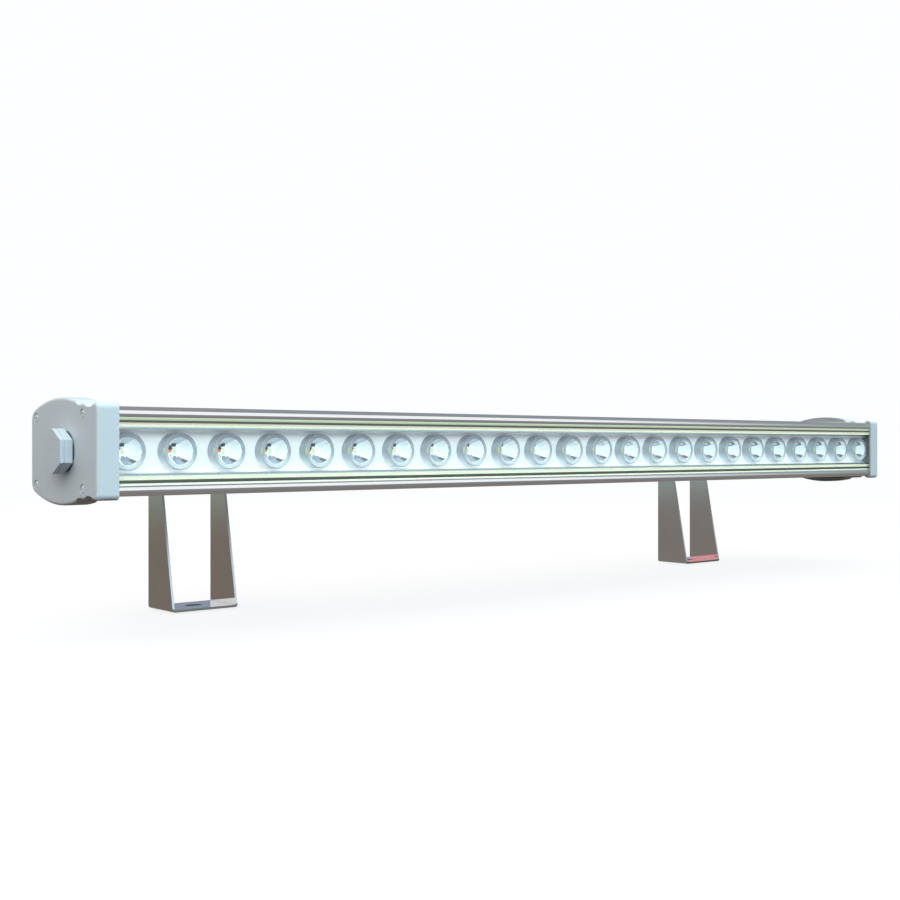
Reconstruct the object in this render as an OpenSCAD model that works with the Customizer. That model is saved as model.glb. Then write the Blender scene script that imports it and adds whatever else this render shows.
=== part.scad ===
// Outdoor wall washer light: an extruded bar of lensed emitters behind glass, closed by two cast end
// caps and carried on two folded steel brackets that let it tilt.
// X runs along the bar, Y runs away from the lit side and Z is up. The origin lies midway between the
// two foot slots, on the underside of the brackets. Lengths are millimetres.

/* [Bar] */
// Length between the outer faces of the end caps
bar_l = 1000; // [900:1:1300]
// Height of the extruded housing
bar_h = 64.6; // [64:0.1:67]
// Depth of the extruded housing, from its front lips to its back
bar_d = 110; // [106:0.5:120]
// Thickness of the housing walls
wall_t = 2.2; // [2:0.1:2.6]
// Thickness of the web that the light board lies on
web_t = 3; // [2.5:0.1:4]
// Width of the gap between two cooling fins
fin_gap = 3.4; // [2.5:0.1:3.8]
// Distance from one cooling fin to the next
fin_pitch = 6; // [5.6:0.1:8]
// Depth of the gaps between the cooling fins
fin_h = 5; // [3:0.1:6]

/* [Window] */
// Height of the front glass
glass_h = 41; // [39:0.2:43]
// Thickness of the front glass
glass_t = 3; // [2.5:0.1:3.2]
// Distance from the front of the lips to the front of the glass
glass_set = 2.5; // [1.5:0.1:3]
// Width of the rubber strip along each edge of the glass
seal_w = 1.7; // [1.2:0.1:2]
// How far the rubber strips stand in front of the glass
seal_proud = 0.5; // [0.2:0.1:1]
// Thickness of the strip that the glass is bedded on
bed_t = 0.6; // [0.4:0.1:1]
// Width of that strip along each edge of the glass
bed_w = 3; // [2:0.1:3.6]
// Height of the lamp chamber behind the glass
chamber_h = 32.6; // [32:0.2:34]

/* [Optics] */
// Distance from one lens to the next
lens_pitch = 41.1; // [38:0.1:50]
// Outer diameter of a lens holder
holder_dia = 27.4; // [25:0.1:27.6]
// How far a lens holder stands in front of the white panel
holder_h = 10; // [8:0.1:11]
// Width of the flat ring on the front of a lens holder
rim_w = 3.2; // [2.5:0.1:4]
// Thickness of the lens holder's wall
holder_t = 1.5; // [1.2:0.1:2]
// Diameter of the holes for the lens holders in the white panel
panel_hole = 24; // [20:0.1:24.5]
// Thickness of the white panel
panel_t = 1; // [0.8:0.1:1.4]
// How far the panel's folded edges reach forward
panel_fold = 5; // [3:0.1:6]
// Thickness of the light board
board_t = 1.6; // [1.2:0.1:2]
// Side of an emitter's square base
emitter_w = 3.5; // [3:0.1:4]
// Height of an emitter's square base
emitter_h = 0.9; // [0.6:0.1:1.2]
// Diameter of an emitter's dome
dome_dia = 2.6; // [2:0.1:3]

/* [End caps] */
// Length of an end cap along the bar
cap_l = 16.5; // [14:0.5:22]
// Thickness of an end cap's end wall
cap_end_t = 7; // [6:0.1:8]
// Thickness of the sleeve that goes round the end of the housing
sleeve_t = 2; // [1.6:0.1:3]
// Height of an end cap over its arched part
crown_h = 79; // [77:0.5:84]
// Radius of the arch
crown_r = 133; // [120:1:160]
// Distance from the front of an end cap to the top of its arch
crown_at = 64; // [60:0.5:68]
// Radius of the rear corners of an end cap
cap_rear_r = 8.5; // [8:0.5:12]
// Rounding between an end cap's outer face and its sides
cap_edge_r = 2.2; // [1:0.1:2.4]
// Rounding of the front corners of an end cap
cap_front_r = 4.2; // [2.2:0.1:5]
// Radius of the scooped groove near the front
scoop_r = 14; // [12:0.5:15]
// Depth of the scooped groove
scoop_deep = 3.3; // [2.4:0.1:3.4]
// Distance from the front to the middle of the scooped groove
scoop_at = 13.8; // [13.6:0.1:14.2]
// Radius of the small groove in front of the arch
valley_r = 9; // [8:0.1:10]
// Depth of the small groove below the front part of the cap
valley_deep = 1.3; // [0.8:0.1:1.4]
// Distance from the front to the middle of the small groove
valley_at = 29.6; // [29.4:0.1:30.6]
// Thickness of the rubber gasket behind each cap
gasket_t = 1; // [0.8:0.1:1.5]

/* [Cap screws] */
// Distance from the front to the front pair of screws
screw_front_at = 24.3; // [24:0.1:25]
// Height of the front pair above the middle
screw_front_z = 26.6; // [26:0.1:27]
// Distance from the back to the rear pair of screws
screw_rear_in = 9.6; // [9:0.1:11]
// Height of the rear pair above the middle
screw_rear_z = 25.2; // [24:0.1:25.5]
// Thread diameter of the cap screws
screw_dia = 3.5; // [3:0.1:4]
// Head diameter of the cap screws
screw_head = 6.4; // [6:0.1:7]
// Head height of the cap screws
screw_head_h = 2.2; // [1.8:0.1:2.6]
// Length of the cap screws under the head
screw_l = 22; // [16:0.5:30]

/* [Cable entries] */
// Distance from the front of a cap to the middle of its cable entry
entry_at = 52; // [48:0.5:58]
// Thread diameter of the cable entries
entry_dia = 20; // [18:0.5:22]
// Width across the flats of the hexagons on the entries
entry_af = 28.5; // [26:0.5:30]
// Thickness of the inner hexagon of the blanking plug
plug_base_h = 5.8; // [4:0.1:7]
// Width of the groove between the plug's two hexagons
plug_groove_h = 1; // [0.6:0.1:1.6]
// Thickness of the outer hexagon of the blanking plug
plug_head_h = 2.5; // [2:0.1:4]
// Diameter of the sealing washers
seal_dia = 29.8; // [29:0.1:31]
// Thickness of the sealing washers
seal_t = 1.2; // [1:0.1:2.5]
// Cable diameter that the gland's seal is bored for
cable_dia = 8; // [6:0.1:9]
// Height of the gland's hexagon
gland_hex_h = 7; // [5:0.1:9]
// Height of the gland's clamping nut
gland_nut_h = 18; // [15:0.5:22]
// Thickness of the lock nuts inside the caps
lock_nut_h = 4; // [3:0.1:5]

/* [Mounting brackets] */
// Distance between the middles of the two brackets
bracket_pitch = 677; // [500:1:760]
// Height of the tilt axis above the underside of the brackets
axis_h = 136.5; // [132:0.5:150]
// Width of a bracket along the bar
foot_w = 62.7; // [58:0.1:70]
// Depth of a bracket's foot plate
foot_d = 44.2; // [40:0.2:50]
// Thickness of the steel strip
strap_t = 2; // [1.5:0.1:2.5]
// Inner radius of the folds
bend_r = 0.6; // [0.4:0.1:2]
// Radius of the rounded ears at the tilt axis
ear_r = 8.6; // [8.4:0.1:10]
// Width of the slot in a foot plate
slot_w = 9; // [7:0.5:11]
// Length of the slot in a foot plate
slot_l = 15; // [12:0.5:20]

/* [Hinge] */
// Distance from the back of the housing to the tilt axis
hinge_reach = 60; // [58:0.5:75]
// Height of the hinge bracket's plate
hinge_plate_h = 30; // [26:0.5:36]
// Length over which the hinge bracket keeps its full height
hinge_flat = 8; // [4:0.5:14]
// Diameter of the pivot bolts
pivot_dia = 8; // [6:0.1:8]
// Radial play of the hinge bracket on the pivot bolts
pivot_play = 0.08; // [0.05:0.01:0.1]
// Diameter of the pivot washers
washer_dia = 16; // [14:0.2:16.6]
// Thickness of the steel pivot washers
washer_t = 1.6; // [1.2:0.1:2]
// Thickness of the friction washers between the two brackets
friction_t = 1; // [0.8:0.1:1.6]
// Thread diameter of the screws into the slot of the housing
tee_dia = 6; // [5:0.1:6]
// Distance between the two screws of a hinge bracket
tee_pitch = 32; // [26:0.5:36]

/* [Driver] */
// Length of the driver's case
driver_l = 182; // [120:1:300]
// Depth of the driver's case
driver_d = 56; // [40:0.5:58]
// Height of the driver's case
driver_h = 34; // [25:0.5:36]

/* [Hidden] */
$fn = 96;

// Clearances and overruns
fit = 0.15;          // play between parts that slide together
thread_play = 0.05;  // play between a thread and its hole
over = 1;            // how far every cut runs past its solid
tuck = 0.02;         // how far a touching line ends inside its circle

// Places of the bar, measured behind the front face of the end caps
nose_d = sleeve_t;                              // front of the lips
back_d = nose_d + bar_d;                        // back of the housing
rear_in = 1.35;                                 // extra wall at the back of an end cap
cap_d = back_d + sleeve_t + fit + rear_in;      // depth of an end cap
glass_front = nose_d + glass_set;
glass_back = glass_front + glass_t;
ledge_d = glass_back + bed_t;                   // front of the ledge that the glass lies on
glass_gap = 1.1;                                // space between the glass and the lens rims
rim_front = glass_back + glass_gap;
panel_front = rim_front + holder_h;
board_front = panel_front + panel_t;
board_back = board_front + board_t;
web_back = board_back + web_t;

// Housing section
half_h = bar_h / 2;
window_z = glass_h / 2 + seal_w;                // inner edge of the lips
lip_r = (half_h - window_z + tuck) / 2;         // the lips are full rounds
lip_z = half_h - lip_r;
bar_arch_rise = 1.2;                            // rise of the finned part's slight arch
bar_arch_z = half_h + bar_arch_rise;
bar_arch_r = 400;                               // radius of that arch
bar_rear_r = cap_rear_r - sleeve_t / 2;
sleeve_gap_wall = sleeve_t - fit;               // wall between the caps' grooves and the sleeve pocket
port_wall_share = 1.1;                          // wall round a screw port, of the housing's wall
port_r = screw_dia / 2 + port_wall_share * wall_t;
pocket_in = wall_t + fit;                       // walls round the hollow behind each lip
fin_root = half_h - fin_h;                      // floor of the gaps between the fins
fin_from = valley_at + valley_r + wall_t;
fin_to = back_d - screw_rear_in - port_r;
fin_count = floor((fin_to - fin_from - fin_gap) / fin_pitch) + 1;
room_z = fin_root - wall_t;                     // half height of the driver room
room_back = back_d - wall_t;
tee_neck = tee_dia + 4 * fit;                   // opening of the slot at the back
tee_nut_w = 10;                                 // width of the square nuts in the slot
tee_nut_h = 5;                                  // height of those nuts
tee_room = tee_nut_w + 2 * fit;                 // height of the slot behind its neck
tee_lip = 3.5;                                  // thickness of the slot's lips
tee_deep = 6;                                   // depth of the slot behind its lips
rail_h = 4;                                     // height of the ribs that locate the driver
rail_t = 2;                                     // thickness of those ribs
driver_at = (web_back + back_d - tee_lip - tee_deep - wall_t - driver_d) / 2;

// End caps
front_half = half_h + sleeve_t;                 // half height of a cap's front part
crown_half = crown_h / 2;
sleeve_l = cap_l - cap_end_t;                   // how far a cap goes over the housing
housing_l = bar_l - 2 * (cap_end_t + gasket_t);
scoop_z = front_half - scoop_deep + scoop_r;
valley_z = front_half - valley_deep + valley_r;
rear_c = cap_d - cap_rear_r;
screw_rear_at = cap_d - screw_rear_in;
hole_play = 0.4;                                // how much wider a screw's hole in a cap is
sink_play = 0.8;                                // how much wider a head's counterbore is
screw_hole = screw_dia + hole_play;
screw_sink = screw_head + sink_play;
pan_width_shares = [0.3, 0.44, 0.5];            // half widths of a pan head, of its diameter
pan_depth_shares = [0, 0.25, 0.6];              // their depths, of the head's height
cross_shares = [0.6, 0.14];                     // length and width of the cross, of the diameter
edge_steps = 5;                                 // steps of the rounded edge
arch_steps = 20;                                // steps along the arch in the rounded cap
gasket_band = 6;                                // width of the gasket's rim

// Optics
row_clear = 2;                                  // least space between the row's ends and the caps
lens_count = floor((housing_l - holder_dia - 2 * row_clear) / lens_pitch) + 1;
holder_r = holder_dia / 2;
spigot_r = panel_hole / 2 - fit;
rim_bevel = 0.8;                                // bevel round the front of a holder
ring_t = 1.2;                                   // thickness of a holder's front ring
lens_r = holder_r - rim_w - thread_play;
lens_foot_share = 0.42;                         // radius of a lens's foot, of the lens
lens_waist_shares = [0.72, 0.38];               // bend in its side, of its radius and height
lens_hollow_share = 0.45;                       // depth of the hollow over the emitter
lens_dish_share = 0.3;                          // dip of its front, of its edge's thickness
lens_hollow_r = dome_dia / 2 + 4 * fit;
board_l = housing_l - row_clear;
board_h = chamber_h - 4 * fit;
screw_steps = 4;                                // lenses from one board screw to the next
board_screw_dia = 3;
board_screw_head = 5.4;

// Hinge and brackets
pivot_y = foot_d / 2 - ear_r;
lamp_y = pivot_y - hinge_reach - back_d;        // front face of the end caps
hinge_play = fit;                               // side play of the hinge bracket
hinge_w = foot_w - 2 * (strap_t + friction_t + hinge_play);
arm_in = hinge_w / 2 - strap_t;                 // inner face of a hinge arm
bolt_head_h = 5.3;
bolt_head_af = 13;
nut_h = 8;
bolt_tail = 1;                                  // how far a bolt stands out of its nut
tee_head_h = 4;
tee_head_af = 10;

// Corner radius of a hexagon with the given width across its flats
function hex_rad(af) = af / sqrt(3);

// Point where the line from a point touches a circle, on the side that turn gives. It lies a touch
// inside the circle, so that the two outlines cross.
function touch(from, centre, r, turn) =
    let (v = centre - from, reach = norm(v), inner = r - tuck,
         a = atan2(v[1], v[0]) + turn * asin(inner / reach))
    from + sqrt(reach * reach - inner * inner) * [cos(a), sin(a)];

// Centre height of a rear corner that meets the arch smoothly
function corner_z(half, arch, rear, r) =
    half - arch + sqrt(pow(arch - r, 2) - pow(rear - r - crown_at, 2));

// Angle at which a rear corner runs into the arch
function corner_end(half, arch, rear, r) =
    atan2(corner_z(half, arch, rear, r) - half + arch, rear - r - crown_at);

// Upper half of the arched outline, drawn in by an inset
function arch_points(inset) =
    let (
        z = corner_z(crown_half, crown_r, cap_d, cap_rear_r),
        last = corner_end(crown_half, crown_r, cap_d, cap_rear_r),
        first = 180 - acos((crown_at - valley_at) / (crown_r - inset))
    )
    concat(
        [for (i = [0:edge_steps]) let (a = last * i / edge_steps)
            [rear_c, z] + (cap_rear_r - inset) * [cos(a), sin(a)]],
        [for (i = [1:arch_steps]) let (a = last + (first - last) * i / arch_steps)
            [crown_at, crown_half - crown_r] + (crown_r - inset) * [cos(a), sin(a)]]
    );

// Extrudes a section drawn in depth and height along the bar
module along_x(l) rotate([90, 0, 90]) linear_extrude(l, center = true) children();

module rod_x(dia, l) rotate([0, 90, 0]) cylinder(d = dia, h = l, center = true);

module rod_y(dia, l) rotate([90, 0, 0]) cylinder(d = dia, h = l, center = true);

module hex_x(af, l) rotate([0, 90, 0]) cylinder(r = hex_rad(af), h = l, center = true, $fn = 6);

// Draws its children above and below the middle of the bar
module mirrored_z() {
    children();
    mirror([0, 0, 1]) children();
}

module mirrored_section() {
    children();
    mirror([0, 1]) children();
}

// Moves lamp parts, drawn from the caps' front face and the middle height, to their place
module lamp() translate([0, lamp_y, axis_h]) children();

// Draws a part of one end, with its outer face at zero and the bar on the positive side
module near_end() lamp() translate([-bar_l / 2, 0, 0]) children();

module far_end() mirror([1, 0, 0]) near_end() children();

module at_near() translate([-bracket_pitch / 2, 0, 0]) children();

module at_far() translate([bracket_pitch / 2, 0, 0]) children();

// Rounded section of the housing without its hollows, grown on all sides for a pocket round it
module bar_outline(grow) {
    z = corner_z(bar_arch_z, bar_arch_r, back_d, bar_rear_r);
    turn = corner_end(bar_arch_z, bar_arch_r, back_d, bar_rear_r);
    rear = back_d - bar_rear_r;
    difference() {
        union() {
            translate([nose_d - grow, -lip_z]) square([back_d / 2, 2 * lip_z]);
            translate([nose_d + lip_r, -half_h - grow])
                square([valley_at + valley_r - nose_d - lip_r, 2 * (half_h + grow)]);
            for (s = [-1, 1]) {
                translate([nose_d + lip_r, s * lip_z]) circle(r = lip_r + grow);
                translate([rear, s * z]) circle(r = bar_rear_r + grow);
            }
            intersection() {
                translate([valley_at, -half_h * 2])
                    square([rear + bar_rear_r * cos(turn) - valley_at, half_h * 4]);
                translate([crown_at, bar_arch_z - bar_arch_r]) circle(r = bar_arch_r + grow);
                translate([crown_at, bar_arch_r - bar_arch_z]) circle(r = bar_arch_r + grow);
            }
            translate([rear - bar_rear_r, -z]) square([2 * bar_rear_r + grow, 2 * z]);
        }
        for (s = [-1, 1]) {
            translate([scoop_at, s * scoop_z]) circle(r = scoop_r + sleeve_gap_wall - grow);
            translate([valley_at, s * valley_z]) circle(r = valley_r + sleeve_gap_wall / 2 - grow);
        }
    }
}

// Places of the four screw ports
module at_ports() {
    for (s = [-1, 1]) {
        translate([screw_front_at, s * screw_front_z]) children();
        translate([screw_rear_at, s * screw_rear_z]) children();
    }
}

module housing_section() {
    difference() {
        bar_outline(0);
        // Opening between the round lips, down to the ledge that the glass lies on
        difference() {
            translate([0, -lip_z]) square([nose_d + lip_r, 2 * lip_z]);
            for (s = [-1, 1]) translate([nose_d + lip_r, s * lip_z]) circle(r = lip_r);
        }
        translate([0, -window_z]) square([ledge_d, 2 * window_z]);
        // Lamp chamber
        translate([0, -chamber_h / 2]) square([board_back, chamber_h]);
        // Hollow behind each lip
        mirrored_section() translate([ledge_d + pocket_in, chamber_h / 2 + pocket_in])
            square([screw_front_at - port_r - ledge_d - pocket_in,
                    scoop_z - scoop_r - sleeve_t - pocket_in - chamber_h / 2 - pocket_in]);
        // Driver room
        difference() {
            translate([web_back, -room_z]) square([room_back - web_back, 2 * room_z]);
            at_ports() circle(r = port_r);
            translate([back_d - tee_lip - tee_deep - wall_t, -tee_room / 2 - wall_t])
                square([tee_deep + tee_lip + wall_t, tee_room + 2 * wall_t]);
            for (d = [driver_at - fit - rail_t, driver_at + driver_d + fit])
                translate([d, -room_z]) square([rail_t, rail_h]);
        }
        // Slot for the hinge screws
        translate([back_d - tee_lip - over, -tee_neck / 2]) square([tee_lip + 2 * over, tee_neck]);
        translate([back_d - tee_lip - tee_deep, -tee_room / 2]) square([tee_deep, tee_room]);
        // Gaps between the cooling fins
        for (s = [-1, 1], i = [0:fin_count - 1])
            translate([fin_from + i * fin_pitch + fin_gap / 2, s * (fin_root + fin_h)])
                square([fin_gap, 2 * fin_h], center = true);
        at_ports() circle(d = screw_dia + 2 * thread_play);
    }
}

module housing() color("silver") lamp() difference() {
    along_x(housing_l) housing_section();
    at_board_screws() translate([0, board_back + web_t / 2, 0])
        rod_y(board_screw_dia + 2 * thread_play, web_t + 2 * over);
}

// How far a rounded edge draws the outline in at one of its steps
function edge_inset(i) = cap_edge_r * (1 - sin(90 * i / edge_steps));

// Height of one step of a rounded edge
function edge_rise(i) = cap_edge_r * (1 - cos(90 * i / edge_steps));

// Layers of a rounded cap, each from one step of its outer edge to its open side
module cap_layers() {
    for (i = [0:edge_steps]) {
        $inset = edge_inset(i);
        translate([0, 0, edge_rise(i)]) linear_extrude(cap_l - edge_rise(i)) children();
    }
}

// Arched outline of a cap behind the small groove
module arch_outline() {
    upper = arch_points($inset);
    polygon(concat(upper, [for (i = [len(upper) - 1:-1:0]) [upper[i][0], -upper[i][1]]]));
}

// Outline of a cap's front part
module front_outline() {
    r = cap_front_r - $inset;
    mirrored_section() translate([cap_front_r, front_half - cap_front_r]) circle(r = r, $fn = 32);
    translate([cap_front_r, $inset - front_half])
        square([valley_at + valley_r - cap_front_r, 2 * (front_half - $inset)]);
}

// End cap with its outer face at zero: an arched plate with a sleeve round the end of the housing
module end_cap() {
    difference() {
        rotate([90, 0, 90]) union() {
            hull() cap_layers() arch_outline();
            hull() cap_layers() front_outline();
        }
        // Scooped groove and small groove across the top and the bottom
        translate([cap_l / 2, 0, 0]) {
            mirrored_z() translate([0, scoop_at, scoop_z]) rod_x(2 * scoop_r, cap_l + 2 * over);
            mirrored_z() translate([0, valley_at, valley_z]) rod_x(2 * valley_r, cap_l + 2 * over);
        }
        // Pocket that the housing and its gasket sit in
        translate([cap_end_t + sleeve_l / 2 + over / 2, 0, 0]) along_x(sleeve_l + over) bar_outline(fit);
        // Screw holes with their counterbores
        at_cap_screws() {
            rod_x(screw_hole, 2 * cap_end_t + over);
            rod_x(screw_sink, 2 * screw_head_h);
        }
        translate([0, entry_at, 0]) rod_x(entry_dia + 2 * thread_play, 2 * cap_end_t + over);
    }
}

module at_cap_screws() {
    for (s = [-1, 1]) {
        translate([0, screw_front_at, s * screw_front_z]) children();
        translate([0, screw_rear_at, s * screw_rear_z]) children();
    }
}

// Rubber gasket between the end of the housing and a cap's end wall
module cap_gasket() {
    translate([cap_end_t + gasket_t / 2, 0, 0]) difference() {
        along_x(gasket_t) bar_outline(0);
        along_x(gasket_t + over) {
            translate([nose_d + gasket_band, -chamber_h / 2]) square([back_d / 2, chamber_h]);
            translate([screw_front_at + port_r, -room_z + rail_t])
                square([screw_rear_at - port_r - screw_front_at - port_r, 2 * (room_z - rail_t)]);
        }
        at_cap_screws() rod_x(screw_hole, 2 * gasket_t + over);
    }
}

// Pan head screw along X, its head's top at zero and its shank on the positive side
module cap_screw() {
    rotate([0, 90, 0]) difference() {
        rotate_extrude() polygon(concat(
            [[0, 0]],
            [for (i = [0:len(pan_width_shares) - 1])
                [screw_head * pan_width_shares[i], screw_head_h * pan_depth_shares[i]]],
            [[screw_head / 2, screw_head_h], [screw_dia / 2, screw_head_h],
             [screw_dia / 2, screw_head_h + screw_l - screw_dia / 2], [0, screw_head_h + screw_l]]
        ));
        for (a = [0, 90]) rotate(a)
            cube([screw_head * cross_shares[0], screw_head * cross_shares[1], screw_head_h],
                 center = true);
    }
}

module cap_screws() at_cap_screws() cap_screw();

module near_end_cap() color("lightsteelblue") near_end() end_cap();

module far_end_cap() color("lightsteelblue") far_end() end_cap();

module near_cap_gasket() color("dimgray") near_end() cap_gasket();

module far_cap_gasket() color("dimgray") far_end() cap_gasket();

module near_cap_screws() color("gainsboro") near_end() cap_screws();

module far_cap_screws() color("gainsboro") far_end() cap_screws();

// Draws an entry's parts from the cap's outer face, with outward as the negative side
module near_entry() near_end() translate([0, entry_at, 0]) children();

module far_entry() far_end() translate([0, entry_at, 0]) children();

// Flat sealing washer against a cap's outer face
module entry_seal() {
    translate([-seal_t / 2, 0, 0]) difference() {
        rod_x(seal_dia, seal_t);
        rod_x(entry_dia + 2 * thread_play, seal_t + over);
    }
}

entry_shank = cap_end_t + lock_nut_h + seal_t + bolt_tail;

// Lock nut on the inner side of a cap's end wall
module entry_locknut() {
    translate([cap_end_t + lock_nut_h / 2, 0, 0]) difference() {
        hex_x(entry_af - 4 * fit, lock_nut_h);
        rod_x(entry_dia + 2 * thread_play, lock_nut_h + over);
    }
}

// Two stacked hexagons with a groove between them, on a hollow threaded shank
module blanking_plug() color("lightsteelblue") near_entry() {
    groove_x = seal_t + plug_base_h;
    head_x = groove_x + plug_groove_h;
    difference() {
        union() {
            translate([-seal_t - plug_base_h / 2, 0, 0]) hex_x(entry_af, plug_base_h);
            translate([-groove_x - plug_groove_h / 2, 0, 0])
                hex_x(entry_af - plug_groove_h, plug_groove_h);
            translate([-head_x - plug_head_h / 2, 0, 0]) hex_x(entry_af, plug_head_h);
            translate([entry_shank / 2 - seal_t, 0, 0]) rod_x(entry_dia, entry_shank);
        }
        translate([entry_shank - seal_t, 0, 0]) rod_x(entry_dia - 4 * plug_groove_h, 2 * entry_shank);
    }
}

module blanking_plug_seal() color("dimgray") near_entry() entry_seal();

module blanking_plug_locknut() color("silver") near_entry() entry_locknut();

gland_collar_h = 8;                                // threaded part that the nut goes over
gland_collar_step = 2;                             // how much wider the collar is than the entry's thread
gland_collar_dia = entry_dia + gland_collar_step;
gland_seal_wall = 4;                               // wall of the seal round the cable
gland_mouth_play = 4;                              // how much wider the nut's mouth is than the cable
gland_skirt_share = 0.62;                          // hexagonal part of the nut, of its height
gland_seal_h = 9;
gland_body_l = seal_t + gland_hex_h + gland_collar_h;

// Hexagon, threaded shank and seal seat of the cable gland
module cable_gland_body() color("lightsteelblue") far_entry() {
    difference() {
        union() {
            translate([-seal_t - gland_hex_h / 2, 0, 0]) hex_x(entry_af, gland_hex_h);
            translate([-seal_t - gland_hex_h - gland_collar_h / 2, 0, 0])
                rod_x(gland_collar_dia, gland_collar_h);
            translate([entry_shank / 2 - seal_t, 0, 0]) rod_x(entry_dia, entry_shank);
        }
        rod_x(cable_dia + 2 * gland_seal_wall, 4 * gland_body_l);
    }
}

module cable_gland_washer() color("dimgray") far_entry() entry_seal();

module cable_gland_locknut() color("silver") far_entry() entry_locknut();

// Rubber seal that closes round the cable
module cable_gland_seal() color("dimgray") far_entry()
    translate([-gland_body_l + gland_seal_h / 2, 0, 0]) difference() {
        rod_x(cable_dia + 2 * gland_seal_wall - 2 * thread_play, gland_seal_h);
        rod_x(cable_dia, gland_seal_h + over);
    }

// Domed clamping nut over the gland's collar and seal
module cable_gland_nut() color("lightsteelblue") far_entry() {
    start = seal_t + gland_hex_h + fit;
    wall = (entry_af - gland_collar_dia) / 2;
    skirt = gland_nut_h * gland_skirt_share;
    translate([-start, 0, 0]) rotate([0, -90, 0]) difference() {
        union() {
            cylinder(r = hex_rad(entry_af - wall), h = skirt, $fn = 6);
            rotate_extrude() polygon([
                [0, 0], [entry_af / 2 - wall / 4, 0], [entry_af / 2 - wall / 4, skirt],
                [entry_af / 2 - wall, gland_nut_h - wall / 2], [entry_af / 2 - 1.5 * wall, gland_nut_h],
                [0, gland_nut_h]
            ]);
        }
        translate([0, 0, -over]) cylinder(d = gland_collar_dia + 2 * fit, h = gland_collar_h + over);
        translate([0, 0, -over]) cylinder(d = cable_dia + gland_mouth_play, h = gland_nut_h + 2 * over);
    }
}

module front_glass() color("lightcyan", 0.4) lamp()
    translate([0, glass_front + glass_t / 2, 0]) cube([housing_l, glass_t, glass_h], center = true);

// Rubber strips between the edges of the glass and the lips
module glass_seals() color("dimgray") lamp() mirrored_z()
    translate([-housing_l / 2, glass_front - seal_proud, glass_h / 2])
        cube([housing_l, seal_proud + glass_t + bed_t, seal_w]);

// Strips that bed the glass on the housing's ledges
module glass_bedding() color("ivory") lamp() mirrored_z()
    translate([-housing_l / 2, glass_back, glass_h / 2 - bed_w]) cube([housing_l, bed_t, bed_w]);

// Draws one copy at each lens, from the front of the light board with the light going up Z
module at_lenses() {
    for (i = [0:lens_count - 1])
        translate([(i - (lens_count - 1) / 2) * lens_pitch, board_front, 0]) rotate([90, 0, 0]) children();
}

// Draws one copy midway between lenses, at every board screw
module at_board_screws() {
    for (i = [screw_steps / 2:screw_steps:lens_count - 1])
        translate([(i - lens_count / 2) * lens_pitch, 0, 0]) children();
}

// White sheet round the lens holders, with its long edges folded forward
module reflector_panel() color("white") lamp() difference() {
    edge = board_h / 2;
    flat = holder_r + fit;
    lip = panel_front - panel_fold;
    along_x(board_l) polygon([
        [panel_front, -flat], [panel_front, flat], [lip, edge - fit], [lip, edge], [board_front, edge],
        [board_front, -edge], [lip, -edge], [lip, fit - edge]
    ]);
    at_lenses() cylinder(d = panel_hole, h = 4 * panel_t, center = true);
}

module light_board() color("whitesmoke") lamp() difference() {
    translate([0, board_front + board_t / 2, 0]) cube([board_l, board_t, board_h], center = true);
    at_board_screws() translate([0, board_front, 0]) rotate([-90, 0, 0]) {
        cylinder(d = board_screw_dia + 2 * thread_play, h = 2 * board_t + over);
        board_screw_cone(thread_play);
    }
}

// Countersunk head, its flat top at zero
module board_screw_cone(play) {
    rotate_extrude() polygon([
        [0, -play], [board_screw_head / 2 + play, -play], [board_screw_head / 2 + play, 0],
        [board_screw_dia / 2 + play, (board_screw_head - board_screw_dia) / 2], [0, board_t - play]
    ]);
}

module board_screws() color("silver") lamp() at_board_screws()
    translate([0, board_front, 0]) rotate([-90, 0, 0]) {
        board_screw_cone(0);
        cylinder(d = board_screw_dia, h = board_t + web_t);
    }

// Emitter: a square base with its dome
module light_emitters() color("khaki") lamp() at_lenses() {
    translate([0, 0, emitter_h / 2]) cube([emitter_w, emitter_w, emitter_h], center = true);
    translate([0, 0, emitter_h]) intersection() {
        sphere(d = dome_dia);
        cylinder(d = 2 * dome_dia, h = dome_dia);
    }
}

// Lens holders: a cup on a spigot, with a flat ring round its mouth
module lens_holders() color("azure") lamp() at_lenses() {
    top = panel_t + holder_h;
    foot = spigot_r - 2 * holder_t;
    rotate_extrude() polygon([
        [foot, 0], [spigot_r, 0], [spigot_r, panel_t], [holder_r, panel_t], [holder_r, top - rim_bevel],
        [holder_r - rim_bevel, top], [holder_r - rim_w, top], [holder_r - rim_w, top - ring_t],
        [holder_r - holder_t, top - ring_t], [holder_r - holder_t, panel_t + holder_t],
        [foot, panel_t + holder_t]
    ]);
}

// Clear collimating lenses: a cone with a hollow over the emitter
module lenses() color("lightblue", 0.5) lamp() at_lenses() {
    top = panel_t + holder_h - glass_gap;
    low = emitter_h + fit;
    tall = top - low;
    dish = ring_t * lens_dish_share;
    hollow = low + tall * lens_hollow_share;
    rotate_extrude() polygon([
        [lens_hollow_r, low], [lens_r * lens_foot_share, low],
        [lens_r * lens_waist_shares[0], low + tall * lens_waist_shares[1]],
        [lens_r, top - ring_t], [lens_r, top], [lens_r / 2, top - dish], [0, top - 1.5 * dish],
        [0, hollow], [lens_hollow_r - fit, hollow - fit]
    ]);
}

// Sheet metal case of the driver, standing between the ribs of the driver room
module driver_case() color("gainsboro") lamp()
    translate([0, driver_at + driver_d / 2, -room_z + driver_h / 2]) difference() {
        cube([driver_l, driver_d, driver_h], center = true);
        cube([driver_l - wall_t, driver_d - wall_t, driver_h - wall_t], center = true);
    }

block_pole = 8;                                     // width of one pole of the terminal block
block_poles = 3;
block_d = 16;
block_h = 14;
block_screw = 3.5;

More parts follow.
